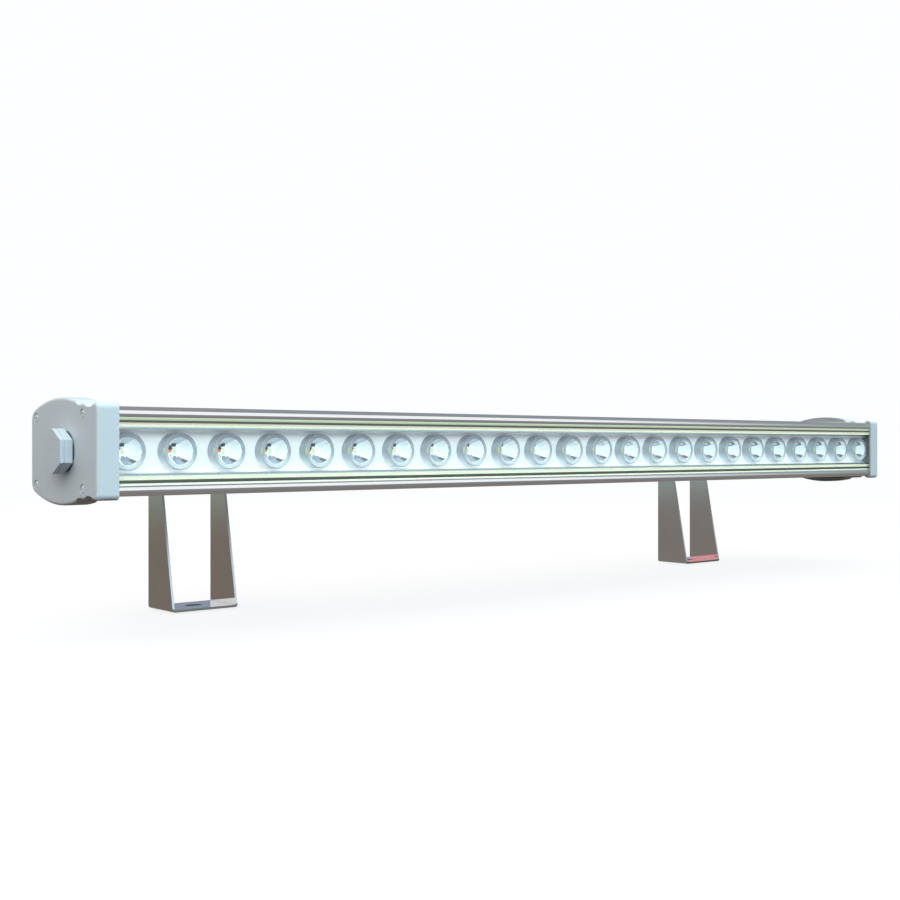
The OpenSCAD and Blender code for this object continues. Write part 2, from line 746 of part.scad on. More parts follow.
// Terminal block beside the driver, at the cable end
module terminal_block() color("white") lamp()
    translate([driver_l / 2 + block_poles * block_pole, driver_at + driver_d / 2, -room_z]) difference() {
        translate([0, 0, block_h / 2]) cube([block_poles * block_pole, block_d, block_h], center = true);
        for (i = [0:block_poles - 1])
            translate([(i - (block_poles - 1) / 2) * block_pole, 0, block_h / 2])
                cylinder(d = block_screw, h = block_h);
    }

// Section of a strip folded into a U, open upwards, with its folded edge at zero
module strap_section(w, h) {
    outer = bend_r + strap_t;
    difference() {
        fold_section(w, h, outer);
        translate([0, strap_t]) fold_section(w - 2 * strap_t, h, bend_r);
    }
}

module fold_section(w, h, r) {
    translate([-w / 2, r]) square([w, h - r]);
    translate([r - w / 2, 0]) square([w - 2 * r, h - r]);
    for (s = [-1, 1]) translate([s * (w / 2 - r), r]) circle(r = r);
}

// Side view of a mounting bracket: upright at the back, sloping at the front, round at the axis
module foot_side() {
    centre = [pivot_y, axis_h];
    polygon([
        [-foot_d / 2, 0], [foot_d / 2, 0], touch([foot_d / 2, 0], centre, ear_r, -1), centre,
        touch([-foot_d / 2, 0], centre, ear_r, 1)
    ]);
    translate(centre) circle(r = ear_r);
}

// Mounting bracket: a strip folded into a U, with a slot in its foot
module mounting_bracket() {
    difference() {
        intersection() {
            rotate([90, 0, 0]) linear_extrude(foot_d + over, center = true)
                strap_section(foot_w, axis_h + ear_r);
            along_x(foot_w + over) foot_side();
        }
        for (s = [-1, 1]) translate([s * (slot_l - slot_w) / 2, 0, 0])
            cylinder(d = slot_w, h = 4 * strap_t, center = true);
        cube([slot_l - slot_w, slot_w, 4 * strap_t], center = true);
        translate([0, pivot_y, axis_h]) rod_x(pivot_dia + 2 * thread_play, foot_w + over);
    }
}

// Side view of a hinge bracket, from the back of the housing to its round ears
module hinge_side() {
    centre = [hinge_reach, 0];
    top = hinge_plate_h / 2;
    polygon([
        [0, -top], [hinge_flat, -top], touch([hinge_flat, -top], centre, ear_r, -1), centre,
        touch([hinge_flat, top], centre, ear_r, 1), [hinge_flat, top], [0, top]
    ]);
    translate(centre) circle(r = ear_r);
}

// Hinge bracket: a smaller U that is screwed to the housing and turns between the mounting bracket's arms
module hinge_bracket() {
    translate([0, lamp_y + back_d, axis_h]) difference() {
        intersection() {
            linear_extrude(hinge_plate_h + over, center = true)
                strap_section(hinge_w, hinge_reach + ear_r);
            along_x(hinge_w + over) hinge_side();
        }
        translate([0, hinge_reach, 0]) rod_x(pivot_dia + 2 * pivot_play, hinge_w + over);
        at_tee_screws() rod_y(tee_dia + 2 * fit, 4 * strap_t);
    }
}

module at_tee_screws() for (s = [-1, 1]) translate([s * tee_pitch / 2, 0, 0]) children();

// Square nuts in the slot at the back of the housing
module slot_nuts() {
    translate([0, lamp_y + back_d - tee_lip - tee_nut_h / 2, axis_h]) at_tee_screws() difference() {
        cube([tee_nut_w, tee_nut_h, tee_nut_w], center = true);
        rod_y(tee_dia + 2 * thread_play, tee_nut_h + over);
    }
}

// Hexagon head screws that hold a hinge bracket to the housing
module hinge_screws() {
    shank = strap_t + tee_lip + tee_nut_h;
    translate([0, lamp_y + back_d, axis_h]) at_tee_screws() {
        translate([0, strap_t - shank / 2, 0]) rod_y(tee_dia, shank);
        translate([0, strap_t + tee_head_h / 2, 0]) rotate([90, 0, 0])
            cylinder(r = hex_rad(tee_head_af), h = tee_head_h, center = true, $fn = 6);
    }
}

// Draws one copy at each arm of a bracket, with its outer face at zero and the gap between the arms
// on the negative side
module at_arms() {
    for (s = [0, 1]) mirror([s, 0, 0]) translate([foot_w / 2, pivot_y, axis_h]) children();
}

inner_washer_x = arm_in - hinge_play - foot_w / 2;  // outer face of the inner washer, from the arm's face

module pivot_bolts() {
    shank = washer_t - inner_washer_x + washer_t + nut_h + bolt_tail;
    at_arms() {
        translate([washer_t + bolt_head_h / 2, 0, 0]) hex_x(bolt_head_af, bolt_head_h);
        translate([washer_t - shank / 2, 0, 0]) rod_x(pivot_dia, shank);
    }
}

// Steel washer of the given thickness, its outer face at zero
module washer_x(dia, t) {
    translate([-t / 2, 0, 0]) difference() {
        rod_x(dia, t);
        rod_x(pivot_dia + 2 * thread_play, t + over);
    }
}

module pivot_washers() at_arms() {
    translate([washer_t, 0, 0]) washer_x(washer_dia, washer_t);
    translate([inner_washer_x, 0, 0]) washer_x(washer_dia, washer_t);
}

module friction_washers() at_arms() translate([-strap_t, 0, 0]) washer_x(washer_dia, friction_t);

module pivot_nuts() at_arms() translate([inner_washer_x - washer_t - nut_h / 2, 0, 0]) difference() {
    hex_x(bolt_head_af, nut_h);
    rod_x(pivot_dia + 2 * thread_play, nut_h + over);
}

module near_hinge_bracket() color("lightgray") at_near() hinge_bracket();

module far_hinge_bracket() color("lightgray") at_far() hinge_bracket();

module near_slot_nuts() color("silver") at_near() slot_nuts();

module far_slot_nuts() color("silver") at_far() slot_nuts();

module near_hinge_screws() color("silver") at_near() hinge_screws();

module far_hinge_screws() color("silver") at_far() hinge_screws();

module near_mounting_bracket() color("darkgray") at_near() mounting_bracket();

module far_mounting_bracket() color("darkgray") at_far() mounting_bracket();

module near_pivot_bolts() color("silver") at_near() pivot_bolts();

module far_pivot_bolts() color("silver") at_far() pivot_bolts();

module near_pivot_washers() color("silver") at_near() pivot_washers();

module far_pivot_washers() color("silver") at_far() pivot_washers();

module near_friction_washers() color("black") at_near() friction_washers();

module far_friction_washers() color("black") at_far() friction_washers();

module near_pivot_nuts() color("silver") at_near() pivot_nuts();

module far_pivot_nuts() color("silver") at_far() pivot_nuts();

housing();
near_end_cap();
far_end_cap();
near_cap_gasket();
far_cap_gasket();
near_cap_screws();
far_cap_screws();
blanking_plug();
blanking_plug_seal();
blanking_plug_locknut();
cable_gland_body();
cable_gland_washer();
cable_gland_locknut();
cable_gland_seal();
cable_gland_nut();
front_glass();
glass_seals();
glass_bedding();
reflector_panel();
light_board();
light_emitters();
lens_holders();
lenses();
board_screws();
driver_case();
terminal_block();
near_hinge_bracket();
far_hinge_bracket();
near_slot_nuts();
far_slot_nuts();
near_hinge_screws();
far_hinge_screws();
near_mounting_bracket();
far_mounting_bracket();
near_pivot_bolts();
far_pivot_bolts();
near_pivot_washers();
far_pivot_washers();
near_friction_washers();
far_friction_washers();
near_pivot_nuts();
far_pivot_nuts();
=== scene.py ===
# %% [markdown]
# An outdoor wall washer: an aluminium bar with a row of lensed lamps behind glass, two cast end caps
# and two polished steel brackets. Its exact shapes come from the CAD frame, which is loaded first and
# never moved. This lesson adds a camera, a small photographic studio, the moulded lamp optics and a
# finish for every part.

# %% The frame
import math

import bpy
from mathutils import Matrix, Vector


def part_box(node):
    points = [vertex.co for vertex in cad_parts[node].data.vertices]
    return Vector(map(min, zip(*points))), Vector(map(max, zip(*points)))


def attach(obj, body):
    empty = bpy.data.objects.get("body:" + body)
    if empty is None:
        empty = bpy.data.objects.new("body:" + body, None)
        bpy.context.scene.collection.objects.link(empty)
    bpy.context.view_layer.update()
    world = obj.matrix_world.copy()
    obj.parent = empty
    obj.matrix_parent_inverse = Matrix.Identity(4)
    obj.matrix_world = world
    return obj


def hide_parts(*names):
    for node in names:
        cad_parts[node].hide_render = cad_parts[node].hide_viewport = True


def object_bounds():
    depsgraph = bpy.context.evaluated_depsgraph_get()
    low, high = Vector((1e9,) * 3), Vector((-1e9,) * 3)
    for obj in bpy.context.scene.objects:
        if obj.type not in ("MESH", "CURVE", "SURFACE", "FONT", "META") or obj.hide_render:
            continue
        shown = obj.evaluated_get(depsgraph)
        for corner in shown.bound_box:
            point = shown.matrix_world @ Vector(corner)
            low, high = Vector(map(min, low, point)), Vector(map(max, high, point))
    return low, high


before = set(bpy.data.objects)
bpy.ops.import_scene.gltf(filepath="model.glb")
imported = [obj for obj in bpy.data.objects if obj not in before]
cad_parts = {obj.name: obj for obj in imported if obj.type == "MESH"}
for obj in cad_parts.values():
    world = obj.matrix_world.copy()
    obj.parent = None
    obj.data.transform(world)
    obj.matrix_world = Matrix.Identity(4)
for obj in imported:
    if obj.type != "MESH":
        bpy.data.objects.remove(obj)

MM = 0.001
QUARTER_TURN = math.radians(90)
scene = bpy.context.scene
cad_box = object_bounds()
print("CAD box", [round(side / MM, 1) for side in cad_box[1] - cad_box[0]], "mm")

# %% [markdown]
# The camera stands level with the lamp, off its left end, and looks along it, so that one metre of
# bar shrinks to little more than half its height at the far end. A camera can be placed by eye, but
# its distance shows in how fast the bar narrows: here it was worked out from the bar's two edges and
# the upright lines of the brackets. The camera is level and the small offset in height is a lens
# shift, because a tilted camera would make the brackets lean.

# %% The camera
CAMERA_AT = (-874.2 * MM, -973.1 * MM, 140 * MM)
CAMERA_TURN = math.radians(-40.44)
LENS_SHIFT = -0.0039
camera_data = bpy.data.cameras.new("camera")
camera_data.lens = 50
camera_data.sensor_width = 36
camera_data.shift_y = LENS_SHIFT
camera = bpy.data.objects.new("camera", camera_data)
camera.location = CAMERA_AT
camera.rotation_euler = (QUARTER_TURN, 0, CAMERA_TURN)
scene.collection.objects.link(camera)
scene.camera = camera
scene.view_settings.view_transform = "Standard"
print("camera", [round(value, 3) for value in camera.location])

# %% [markdown]
# Finishes are built from shader nodes. Wiring them by hand takes four lines for each sum, so a small
# class wraps an output and lets Python's own signs add the Math nodes. Another class makes every
# other node: its settings come first, then the values or wires of its sockets.


# %% Wires and nodes
class Wire:
    """An output socket that can be added, taken away, multiplied and made positive."""

    def __init__(self, nodes, socket):
        self.nodes = nodes
        self.socket = socket

    def __add__(self, other):
        return self.nodes.sum("ADD", self, other)

    def __sub__(self, other):
        return self.nodes.sum("SUBTRACT", self, other)

    def __rsub__(self, other):
        return self.nodes.sum("SUBTRACT", other, self)

    def __mul__(self, other):
        return self.nodes.sum("MULTIPLY", self, other)

    def __abs__(self):
        return self.nodes.sum("ABSOLUTE", self, 0)

    __radd__ = __add__
    __rmul__ = __mul__


class Nodes:
    """Adds nodes to one node tree."""

    def __init__(self, tree):
        self.tree = tree

    def feed(self, socket, value):
        if isinstance(value, Wire):
            self.tree.links.new(value.socket, socket)
        else:
            socket.default_value = value

    def node(self, kind, settings=None, values=None, out=0):
        made = self.tree.nodes.new(kind)
        for name, value in (settings or {}).items():
            setattr(made, name, value)
        for name, value in (values or {}).items():
            self.feed(made.inputs[name], value)
        return Wire(self, made.outputs[out])

    def sum(self, operation, a, b):
        return self.node("ShaderNodeMath", {"operation": operation}, {0: a, 1: b})

    def place(self):
        return self.node("ShaderNodeTexCoord", out="Object")

    def axis(self, name, vector=None):
        return self.node("ShaderNodeSeparateXYZ", values={0: vector or self.place()}, out=name)

    def facing(self, name):
        """How far the surface faces along one axis."""
        return self.axis(name, self.node("ShaderNodeNewGeometry", out="Normal"))

    def ray(self, kind):
        return self.node("ShaderNodeLightPath", out=f"Is {kind} Ray")

    def noise(self, scale, detail, stretch=(1, 1, 1)):
        spread = self.node("ShaderNodeMapping", values={"Vector": self.place(), "Scale": stretch})
        return self.node("ShaderNodeTexNoise", values={"Vector": spread, "Scale": scale, "Detail": detail})

    def ramp(self, value, low, high, start=0, end=1):
        ends = {"Value": value, "From Min": low, "From Max": high, "To Min": start, "To Max": end}
        return self.node("ShaderNodeMapRange", {"interpolation_type": "SMOOTHSTEP"}, ends)

    def band(self, value, low, high, soft):
        """One between low and high, falling to nothing over a soft edge on either side."""
        return self.ramp(value, low - soft, low) * self.ramp(value, high + soft, high)

    def mix(self, factor, a, b):
        return self.node("ShaderNodeMix", {"data_type": "RGBA"}, {0: factor, 6: a, 7: b}, out=2)

    def bump(self, height, distance, strength):
        values = {"Strength": strength, "Distance": distance, "Height": height}
        return self.node("ShaderNodeBump", values=values)

    def blend(self, factor, a, b):
        return self.node("ShaderNodeMixShader", values={0: factor, 1: a, 2: b})

    def emission(self, colour):
        return self.node("ShaderNodeEmission", values={"Color": colour})


class Finish(Nodes):
    """A material with one Principled shader."""

    def __init__(self, name, values=None):
        self.material = bpy.data.materials.new(name)
        self.material.use_nodes = True
        super().__init__(self.material.node_tree)
        self.shader = self.tree.nodes["Principled BSDF"]
        self.set(values or {})

    def set(self, values):
        for name, value in values.items():
            self.feed(self.shader.inputs[name], value)

    def show(self, shader):
        self.feed(self.tree.nodes["Material Output"].inputs["Surface"], shader)

    def shaded(self):
        return Wire(self, self.shader.outputs[0])

    def rough(self, pattern, low, high):
        """A roughness that follows a noise from low to high."""
        return self.ramp(pattern, 0.3, 0.7, low, high)

    def clear_to_light(self, tint):
        """Lets shadow and diffuse rays straight through, so that what lies behind is lit."""
        open_way = self.node("ShaderNodeBsdfTransparent", values={"Color": tint})
        self.show(self.blend(self.ray("Shadow") + self.ray("Diffuse"), self.shaded(), open_way))


# %% [markdown]
# The studio is white all round. The world is plain white to the camera and to rays that a shiny or
# clear surface sends out, and it lights matt surfaces as a soft dome that is dim below the horizon.
# Keeping the two apart lets the background stay white while the lamp keeps its shades.

# %% The world
STUDIO_WHITE = (0.985, 0.99, 1, 1)
DOME_TOP = (1.65, 1.60, 1.52, 1)
DOME_SIDE = (0.55, 0.48, 0.46, 1)
DOME_LOW = (0.10, 0.070, 0.055, 1)
world = bpy.data.worlds.new("studio")
scene.world = world
world.use_nodes = True
sky = Nodes(world.node_tree)
up = sky.axis("Z", sky.node("ShaderNodeTexCoord", out="Generated"))
dome_tint = sky.mix(sky.ramp(up, 0.15, 0.95), DOME_SIDE, DOME_TOP)
dome_tint = sky.mix(sky.ramp(up, -0.15, 0.1), DOME_LOW, dome_tint)
dome = sky.node("ShaderNodeBackground", values={"Color": dome_tint})
white = sky.node("ShaderNodeBackground", values={"Color": STUDIO_WHITE})
seen = sky.ray("Camera") + sky.ray("Glossy") + sky.ray("Transmission")
sky.feed(world.node_tree.nodes["World Output"].inputs["Surface"], sky.blend(seen, dome, white))
print("world", world.name)

# %% [markdown]
# Two soft lamps stand in front. The key lamp is cool, and half as high above the glass as it is far
# from it: light that comes in so low reaches the white panel at the back of its deep chamber, and
# leaves only the thin grey shadow of the upper lip on it, which a painted shade on the panel deepens.
# The other is warmer, stands off the near end and higher, and draws the plug's soft shadow on the end
# face. Area lamps are chosen over a sun because their size gives those shadows their soft edges. The
# table gives each lamp's place, size, power and tint.


# %% The lamps
def area_lamp(name, place, size, power, tint, aim):
    data = bpy.data.lights.new(name, "AREA")
    data.shape = "RECTANGLE"
    data.size, data.size_y = size
    data.energy = power
    data.color = tint
    lamp = bpy.data.objects.new(name, data)
    lamp.location = place
    lamp.rotation_euler = (aim - Vector(place)).to_track_quat("-Z", "Y").to_euler()
    scene.collection.objects.link(lamp)
    print(name, "lamp", power, "W")


LAMPS = (
    ("key", (-0.55, -2.35, 1.25), (1.8, 1.2), 34, (0.53, 0.87, 1.0)),
    ("fill", (-1.9, -1.5, 1.7), (0.9, 0.9), 14.5, (1.0, 0.84, 0.81)),
)
middle = (cad_box[0] + cad_box[1]) / 2
near_cap = Vector((cad_box[0].x, middle.y, middle.z))
for settings in LAMPS:
    area_lamp(*settings, near_cap)

# %% [markdown]
# Polished metal shows what stands round it, so the bands on the lips are pictures of the studio. A
# photographer shapes them with grey cards: overhead, behind, beyond the far end and underneath. A
# rose one behind tints the far foot. They glow in their own shade here, are seen by shiny and clear
# surfaces alone, and belong to the stage, not to the lamp. The table gives each card's middle, its
# size, how it is turned, its shades at either end and the stretch over which one turns into the
# other.


# %% Cards
def sheet_at(name, centre, size, turn):
    bpy.ops.mesh.primitive_plane_add(size=1, location=centre, rotation=turn)
    sheet = bpy.context.object
    sheet.name = name
    sheet.scale = (size[0], size[1], 1)
    return sheet


def card(name, centre, size, turn, near, far, ends):
    """A card whose shade runs from near to far along its own height."""
    made = sheet_at(name, centre, size, turn)
    finish = Finish(name)
    shade = finish.ramp(finish.axis("Y"), ends[0], ends[1])
    finish.show(finish.emission(finish.mix(shade, near, far)))
    made.data.materials.append(finish.material)
    made.visible_camera = False
    made.visible_diffuse = False
    made.visible_shadow = False
    print(name, "at", [round(value, 2) for value in centre], "m")


CARD_TOP = (0.27, 0.30, 0.32, 1)
CARD_BACK = (0.26, 0.31, 0.29, 1)
CARD_BLUE = (0.28, 0.31, 0.36, 1)
CARD_SIDE = (0.30, 0.34, 0.35, 1)
CARD_ROSE = (1.0, 0.31, 0.30, 1)
CARD_FRONT = (0.25, 0.27, 0.28, 1)
CARD_FOOT = (0.21, 0.19, 0.175, 1)
FLAT = (0, 0, 0)
UPRIGHT = (QUARTER_TURN, 0, 0)
SIDEWAYS = (0, QUARTER_TURN, 0)
ALL_OF_IT = (-0.5, 0.5)
UNDER_FLOOR = -4 * MM
CARDS = (
    ("overhead_card", (0, 0.2, 2.2), (8, 5.4), FLAT, CARD_TOP, CARD_TOP, ALL_OF_IT),
    ("back_left_card", (-3.4, 2.9, -0.1), (5.2, 0.8), UPRIGHT, CARD_BACK, CARD_BACK, ALL_OF_IT),
    ("rose_card", (-3.7, 2.9, 0.65), (2.2, 0.7), UPRIGHT, CARD_ROSE, CARD_ROSE, ALL_OF_IT),
    ("back_right_card", (1.6, 2.9, 0.9), (4.8, 2.7), UPRIGHT, CARD_BLUE, CARD_TOP, (-0.1, 0.5)),
    ("side_card", (3.6, -1.4, 1.1), (3.2, 4.4), SIDEWAYS, STUDIO_WHITE, CARD_SIDE, (-0.5, -0.1)),
    ("front_card", (0, -0.515, UNDER_FLOOR), (8, 0.83), FLAT, CARD_FRONT, CARD_FOOT, (-0.1, 0.5)),
    ("floor_card", (0, 1.4, UNDER_FLOOR), (8, 3), FLAT, CARD_FOOT, CARD_BACK, (-0.3, 0.35)),
)
for settings in CARDS:
    card(*settings)

# %% [markdown]
# The floor is a plain pale sheet. Most of it glows in the studio's white, and near the lamp a small
# share of a real matt surface is blended in, so that the lamp's faint shadow shows. Shiny and clear
# surfaces don't see it: they see the cards.

# %% Floor
FLOOR_SIDE = 14
FLOOR_SHARE = 0.2
SHARE_REACH = 2.4
SHARE_FULL = 1.2
floor = sheet_at("floor", (0, 0, -MM), (FLOOR_SIDE, FLOOR_SIDE), FLAT)
ground = Finish("floor", {"Roughness": 0.9, "Specular IOR Level": 0.0})
ground.set({"Base Color": ground.mix(ground.noise(6, 3), (0.80, 0.81, 0.82, 1), (0.83, 0.84, 0.85, 1))})
away = ground.node("ShaderNodeVectorMath", {"operation": "LENGTH"}, {0: ground.place()}, out="Value")
share = ground.ramp(away * FLOOR_SIDE, SHARE_REACH, SHARE_FULL, 0, FLOOR_SHARE)
ground.show(ground.blend(share, ground.emission(STUDIO_WHITE), ground.shaded()))
floor.data.materials.append(ground.material)
floor.visible_diffuse = False
floor.visible_glossy = False
floor.visible_transmission = False
print("floor", FLOOR_SIDE, "m wide")

# %% [markdown]
# Many finishes change with the distance from the middle of the bar, or between its near and its far
# half. These three measures are shared.

# %% Shared measures
AXIS_Z = 136.5 * MM


def above_axis(finish):
    """How far a point lies above the middle of the bar."""
    return finish.axis("Z") - AXIS_Z


def from_axis(finish):
    """How far a point lies above or below the middle of the bar."""
    return abs(above_axis(finish))


def far_half(finish):
    """Nothing on the near half of the lamp, and one on the far half."""
    return finish.ramp(finish.axis("X"), -0.1, 0.1)


# %% [markdown]
# The bar is an extrusion: aluminium pressed through a die, then polished along its lips. The die
# leaves fine lines that run the whole length, which a noise gives when it is stretched 250 times
# along the bar. The finned part behind isn't polished, so it is darker and rougher. The ledge behind
# the glass is painted blue grey, a painted reflection. Where the lips meet the glass, the metal gives
# way to a matt pale green, a painted reflection of the glass's green edge, and the upper one has a
# painted glow.

# %% Bar
FINS_START = -128 * MM
FINS_FULL = -115 * MM
LIP_REFLECTION_Z = (24.5 * MM, 24.0 * MM)
LIP_REFLECTION_PAST_GLASS = (0.6 * MM, 0.3 * MM)
LEDGE_REFLECTION_Z = (17.7 * MM, 17.5 * MM)
glass_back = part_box("front_glass")[1].y


def anodised_bar():
    finish = Finish("anodised_bar", {"Emission Strength": 1.0})
    lines = finish.noise(900, 2, (0.004, 1, 1))
    depth = finish.axis("Y")
    behind = finish.ramp(depth, FINS_START, FINS_FULL)
    # painted reflection: the lips' undersides beside the glass turn pale green and matt
    lip_reflection = finish.ramp(from_axis(finish), *LIP_REFLECTION_Z)
    lip_reflection = lip_reflection * finish.ramp(depth, glass_back + LIP_REFLECTION_PAST_GLASS[0], glass_back + LIP_REFLECTION_PAST_GLASS[1])
    # painted glow on the upper lip's green
    upper_lip_glow = lip_reflection * finish.ramp(above_axis(finish), 0, 20 * MM)
    # painted blue grey reflection on the ledge behind the glass
    ledge_reflection = finish.ramp(from_axis(finish), *LEDGE_REFLECTION_Z) * (1 - behind)
    metal = finish.mix(lines, (0.86, 0.88, 0.89, 1), (0.94, 0.95, 0.96, 1))
    finned = finish.mix(lines, (0.52, 0.55, 0.57, 1), (0.64, 0.66, 0.68, 1))
    tone = finish.mix(behind, metal, finned)
    tone = finish.mix(ledge_reflection, tone, (0.42, 0.53, 0.58, 1))
    tone = finish.mix(lip_reflection, tone, (0.86, 0.97, 0.80, 1))
    finish.set({
        "Base Color": tone,
        "Emission Color": finish.mix(upper_lip_glow, (0, 0, 0, 1), (0.34, 0.42, 0.30, 1)),
        "Roughness": finish.rough(lines, 0.05, 0.12) + behind * 0.28 + lip_reflection * 0.25,
        "Metallic": 1 - lip_reflection,
        "Normal": finish.bump(lines, 0.02 * MM, 0.3),
    })
    return finish.material


# %% [markdown]
# The end caps are cast and powder coated in a pale blue grey. Powder flows into a skin that is
# nearly smooth, with a faint orange peel. Two noises do it: a fine one for the peel, a broad one for
# the slight change of tint that a casting shows. The far cap's faces that look back along the bar are
# painted darker, a painted shade.


# %% End caps
def cast_cap():
    finish = Finish("cast_cap")
    broad = finish.noise(28, 3)
    peel = finish.noise(1500, 2)
    # painted shade on the far cap's faces that look back along the bar
    inward_painted_shade = finish.ramp(finish.facing("X"), -0.5, -0.8) * far_half(finish)
    tone = finish.mix(broad, (0.55, 0.67, 0.735, 1), (0.59, 0.70, 0.765, 1))
    finish.set({
        "Base Color": finish.mix(inward_painted_shade, tone, (0.33, 0.37, 0.39, 1)),
        "Roughness": finish.rough(peel, 0.36, 0.48),
        "Normal": finish.bump(peel, 0.06 * MM, 0.4),
    })
    return finish.material


# %% [markdown]
# Plain steel turns up as screws with fine turning marks, as bolts, as the driver's case and as the
# dull hinge brackets. One function makes them all. Only the tint, the roughness and the marks differ:
# their scale, their stretch and their depth.


# %% Steel
def steel(name, tint, rough, marks, stretch, depth):
    finish = Finish(name, {"Metallic": 1.0})
    grain = finish.noise(marks, 3, stretch)
    cloud = finish.noise(40, 2)
    dark = tuple([value * 0.88 for value in tint[:3]] + [1])
    finish.set({
        "Base Color": finish.mix(cloud, dark, tint),
        "Roughness": finish.ramp(grain, 0.25, 0.75, rough * 0.7, rough * 1.4),
        "Normal": finish.bump(grain, depth, 0.35),
    })
    return finish.material


# %% [markdown]
# The mounting brackets are bent from polished strip, and their parts look different: the broad faces
# mirror the room, the sheared edges are duller, and darker along the foot, and the foot's upper face
# has a painted blue reflection of the pale ceiling. The surface's own direction tells them apart. The
# broad faces carry painted reflections as well: warm on the near bracket, grey on the far one.


# %% Mounting brackets
def polished_strip():
    finish = Finish("polished_strip", {"Metallic": 1.0})
    grain = finish.noise(300, 3, (0.1, 1, 1))
    cloud = finish.noise(40, 2)
    sheared = finish.ramp(abs(finish.facing("Y")), 0.4, 0.6)
    above = finish.ramp(finish.facing("Z"), 0.6, 0.9)
    foot = finish.ramp(finish.axis("Z"), 3.5 * MM, 2.5 * MM)
    # painted reflections of the room: warm on the near bracket, grey on the far one
    warm = finish.mix(cloud, (0.72, 0.68, 0.61, 1), (0.82, 0.78, 0.70, 1))
    grey = finish.mix(cloud, (0.82, 0.81, 0.82, 1), (0.91, 0.91, 0.92, 1))
    tone = finish.mix(far_half(finish), warm, grey)
    # painted blue reflection of the ceiling on the foot's upper face
    tone = finish.mix(above, tone, (0.70, 0.80, 1.0, 1))
    edge = finish.mix(foot, (0.60, 0.67, 0.73, 1), (0.17, 0.17, 0.16, 1))
    finish.set({
        "Base Color": finish.mix(sheared, tone, edge),
        "Roughness": finish.ramp(grain, 0.25, 0.75, 0.04, 0.08) + sheared * 0.3 + above * 0.07,
        "Normal": finish.bump(grain, 0.01 * MM, 0.35),
    })
    return finish.material


# %% [markdown]
# Rubber and nylon are matt, near black, and never quite even: dust and skin oil lighten them in
# patches. The board, the terminal block, the plated plug and gland and the coated cap screws get the
# same small treatment in their own colours. The screws are painted paler than the caps' coat, a
# painted light on heads that sit in the shade of their counterbores.


# %% Rubber, nylon and coatings
def moulded(name, dark, light, rough, scale, depth, shine=0.5):
    finish = Finish(name, {"Specular IOR Level": shine})
    patch = finish.noise(scale, 4)
    grain = finish.noise(scale * 30, 2)
    finish.set({
        "Base Color": finish.mix(patch, dark, light),
        "Roughness": finish.rough(grain, rough * 0.85, rough * 1.15),
        "Normal": finish.bump(grain, depth, 0.4),
    })
    return finish.material


# %% [markdown]
# The glass lies on two strips of cream rubber. They have a faint painted glow, the upper one more,
# and both turn green towards the lamps, where the glass's own colour gathers.

# %% Bedding of the glass
BEDDING_GREEN_Z = (18.6 * MM, 17.6 * MM)


def cream_bedding():
    finish = Finish("cream_bedding", {"Emission Strength": 0.6})
    patch = finish.noise(60, 4)
    upper = finish.ramp(above_axis(finish), -MM, MM)
    tone = finish.mix(patch, (0.86, 0.89, 0.78, 1), (0.92, 0.93, 0.83, 1))
    tone = finish.mix(finish.ramp(from_axis(finish), *BEDDING_GREEN_Z), tone, (0.66, 0.82, 0.55, 1))
    finish.set({
        "Base Color": tone,
        # painted glow, stronger on the upper strip
        "Emission Color": finish.mix(upper, (0.36, 0.36, 0.28, 1), tone),
        "Roughness": finish.rough(patch, 0.3, 0.4),
        "Normal": finish.bump(patch, 0.02 * MM, 0.4),
    })
    return finish.material


# %% [markdown]
# The panel round the lenses is a white sheet with a folded edge above and below, and a faint
# painted glow. Its top fades to grey, a painted shade under the upper lip, and the folded edges
# carry a faint blue painted shade.

# %% Panel
PANEL_PAINTED_SHADE_Z = (9.5 * MM, 13.5 * MM)
PANEL_FOLD_SHADE_Z = (15.0 * MM, 15.4 * MM)


def white_panel():
    finish = Finish("white_panel", {"Emission Strength": 0.2})
    patch = finish.noise(30, 4)
    tone = finish.mix(patch, (0.95, 0.95, 0.95, 1), (0.98, 0.975, 0.97, 1))
    # painted shade at the panel's top, under the upper lip
    tone = finish.mix(finish.ramp(above_axis(finish), *PANEL_PAINTED_SHADE_Z), tone, (0.66, 0.70, 0.76, 1))
    # painted faint blue shade on the folded edges
    tone = finish.mix(finish.ramp(from_axis(finish), *PANEL_FOLD_SHADE_Z), tone, (0.72, 0.82, 0.88, 1))
    finish.set({
        "Base Color": tone,
        # painted glow
        "Emission Color": tone,
        "Roughness": finish.rough(patch, 0.15, 0.22),
        "Normal": finish.bump(patch, 0.01 * MM, 0.4),
    })
    return finish.material


# %% [markdown]
# The glass is a flat strip, clear across its face and green along its long edges, where one looks
# through much more of it. Light has to reach the lamps behind it without the noise that bent light
# brings, so shadow and diffuse rays pass straight through.

# %% Glass
GLASS_GREEN_Z = (19.2 * MM, 20.4 * MM)


def clear_glass():
    finish = Finish("clear_glass", {"Roughness": 0.0, "IOR": 1.3, "Transmission Weight": 1.0})
    edge = finish.ramp(from_axis(finish), *GLASS_GREEN_Z)
    finish.set({"Base Color": finish.mix(edge, (0.98, 0.995, 0.99, 1), (0.88, 0.95, 0.83, 1))})
    finish.clear_to_light((0.95, 0.97, 0.96, 1))
    return finish.material


# %% [markdown]
# The lens holders are rings of grey blue plastic with a faint painted glow, painted darker above,
# a painted shade where the lip shades them, and pale below, a painted light. On the left, a thread of
# the lamp's yellow green is painted in the edge of each ring, a painted reflection of the emitter.
# The row repeats, so the pattern is drawn once, round a middle that a modulo brings back at every lens.

